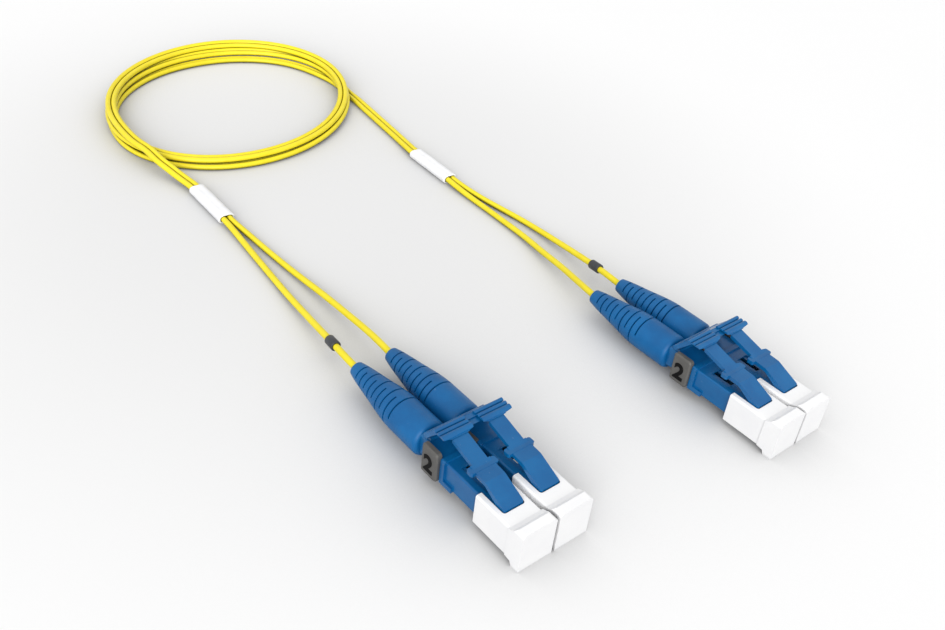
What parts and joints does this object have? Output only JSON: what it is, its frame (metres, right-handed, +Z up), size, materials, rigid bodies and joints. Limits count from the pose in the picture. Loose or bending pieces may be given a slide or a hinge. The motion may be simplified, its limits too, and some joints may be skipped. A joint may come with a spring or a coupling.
{
  "type": "fibre_optic_patch_cable",
  "caption": "Twin-fibre patch cable: capped duplex plugs with a ridged trigger and slotted boots on both ends of a yellow twin cord, coiled flat",
  "frame": {"origin": "on the floor under the middle of the four plugs, cord left out", "axes": "+X from the near pair to the far pair, -Y the way the plugs point, +Z up"},
  "size_m": [0.0614, 0.1665, 0.0097],
  "materials": {
    "plug_blue": "moulded, slightly glossy",
    "boot_blue": "soft moulded strain relief",
    "clip_grey": "dark grey, fine grain",
    "cap_white": "soft white, slightly translucent",
    "cord_yellow": "smooth jacket",
    "label_white": "heat-shrunk sleeve",
    "ring_grey": "dark marker ring",
    "ceramic_white": "polished zirconia",
    "turned_metal": "nickel plated",
    "crimp_metal": "rolled sleeve",
    "spring_steel": "drawn wire"
  },
  "bodies": {
    "base": {"clip_near": "clip_grey", "plug_housing_near_1": "plug_blue", "rear_body_near_1": "plug_blue", "crimp_body_near_1": "turned_metal", "crimp_ring_near_1": "crimp_metal", "boot_near_1": "boot_blue", "spring_near_1": "spring_steel", "strand_near_1": "cord_yellow", "plug_housing_near_2": "plug_blue", "rear_body_near_2": "plug_blue", "crimp_body_near_2": "turned_metal", "crimp_ring_near_2": "crimp_metal", "boot_near_2": "boot_blue", "spring_near_2": "spring_steel", "strand_near_2": "cord_yellow", "label_near": "label_white", "marker_ring_near": "ring_grey", "clip_far": "clip_grey", "plug_housing_far_1": "plug_blue", "rear_body_far_1": "plug_blue", "crimp_body_far_1": "turned_metal", "crimp_ring_far_1": "crimp_metal", "boot_far_1": "boot_blue", "spring_far_1": "spring_steel", "strand_far_1": "cord_yellow", "plug_housing_far_2": "plug_blue", "rear_body_far_2": "plug_blue", "crimp_body_far_2": "turned_metal", "crimp_ring_far_2": "crimp_metal", "boot_far_2": "boot_blue", "spring_far_2": "spring_steel", "strand_far_2": "cord_yellow", "label_far": "label_white", "marker_ring_far": "ring_grey", "coil": "cord_yellow"},
    "trigger_near": {"trigger_near": "plug_blue"},
    "latch_near_1": {"latch_arm_near_1": "plug_blue"},
    "fibre_near_1": {"ferrule_near_1": "ceramic_white", "ferrule_holder_near_1": "turned_metal"},
    "cap_near_1": {"dust_cap_near_1": "cap_white"},
    "latch_near_2": {"latch_arm_near_2": "plug_blue"},
    "fibre_near_2": {"ferrule_near_2": "ceramic_white", "ferrule_holder_near_2": "turned_metal"},
    "cap_near_2": {"dust_cap_near_2": "cap_white"},
    "trigger_far": {"trigger_far": "plug_blue"},
    "latch_far_1": {"latch_arm_far_1": "plug_blue"},
    "fibre_far_1": {"ferrule_far_1": "ceramic_white", "ferrule_holder_far_1": "turned_metal"},
    "cap_far_1": {"dust_cap_far_1": "cap_white"},
    "latch_far_2": {"latch_arm_far_2": "plug_blue"},
    "fibre_far_2": {"ferrule_far_2": "ceramic_white", "ferrule_holder_far_2": "turned_metal"},
    "cap_far_2": {"dust_cap_far_2": "cap_white"}
  },
  "joints": [
    {"name": "trigger_press_near", "type": "hinge", "parent": "base", "child": "trigger_near", "pos_m": [-0.02208, 0.00376, 0.00635], "axis": [1, 0, 0], "range_deg": [0, 16], "stiffness_Nm_per_rad": 0.001},
    {"name": "latch_press_near_1", "type": "hinge", "parent": "base", "child": "latch_near_1", "pos_m": [-0.0252, -0.0109, 0.00571], "axis": [-1, 0, 0], "range_deg": [0, 7.04], "stiffness_Nm_per_rad": 0.0005},
    {"name": "ferrule_slide_near_1", "type": "slide", "parent": "base", "child": "fibre_near_1", "axis": [0, 1, 0], "range_m": [0, 0.001], "stiffness_N_per_m": 800, "deforming": ["spring_near_1"]},
    {"name": "cap_slide_near_1", "type": "slide", "parent": "base", "child": "cap_near_1", "axis": [0, -1, 0], "range_m": [0, 0.012]},
    {"name": "latch_press_near_2", "type": "hinge", "parent": "base", "child": "latch_near_2", "pos_m": [-0.01895, -0.0109, 0.00571], "axis": [-1, 0, 0], "range_deg": [0, 7.04], "stiffness_Nm_per_rad": 0.0005},
    {"name": "ferrule_slide_near_2", "type": "slide", "parent": "base", "child": "fibre_near_2", "axis": [0, 1, 0], "range_m": [0, 0.001], "stiffness_N_per_m": 800, "deforming": ["spring_near_2"]},
    {"name": "cap_slide_near_2", "type": "slide", "parent": "base", "child": "cap_near_2", "axis": [0, -1, 0], "range_m": [0, 0.012]},
    {"name": "trigger_press_far", "type": "hinge", "parent": "base", "child": "trigger_far", "pos_m": [0.02208, -0.00194, 0.00635], "axis": [1, 0, 0], "range_deg": [0, 16], "stiffness_Nm_per_rad": 0.001},
    {"name": "latch_press_far_1", "type": "hinge", "parent": "base", "child": "latch_far_1", "pos_m": [0.01895, -0.01658, 0.00571], "axis": [-1, 0, 0], "range_deg": [0, 7.04], "stiffness_Nm_per_rad": 0.0005},
    {"name": "ferrule_slide_far_1", "type": "slide", "parent": "base", "child": "fibre_far_1", "axis": [0, 1, 0], "range_m": [0, 0.001], "stiffness_N_per_m": 800, "deforming": ["spring_far_1"]},
    {"name": "cap_slide_far_1", "type": "slide", "parent": "base", "child": "cap_far_1", "axis": [0, -1, 0], "range_m": [0, 0.012]},
    {"name": "latch_press_far_2", "type": "hinge", "parent": "base", "child": "latch_far_2", "pos_m": [0.0252, -0.01658, 0.00571], "axis": [-1, 0, 0], "range_deg": [0, 7.04], "stiffness_Nm_per_rad": 0.0005},
    {"name": "ferrule_slide_far_2", "type": "slide", "parent": "base", "child": "fibre_far_2", "axis": [0, 1, 0], "range_m": [0, 0.001], "stiffness_N_per_m": 800, "deforming": ["spring_far_2"]},
    {"name": "cap_slide_far_2", "type": "slide", "parent": "base", "child": "cap_far_2", "axis": [0, -1, 0], "range_m": [0, 0.012]}
  ],
  "couplings": [
    {"joint": "latch_press_near_1", "follows": "trigger_press_near", "ratio": 0.44},
    {"joint": "latch_press_near_2", "follows": "trigger_press_near", "ratio": 0.44},
    {"joint": "latch_press_far_1", "follows": "trigger_press_far", "ratio": 0.44},
    {"joint": "latch_press_far_2", "follows": "trigger_press_far", "ratio": 0.44}
  ]
}
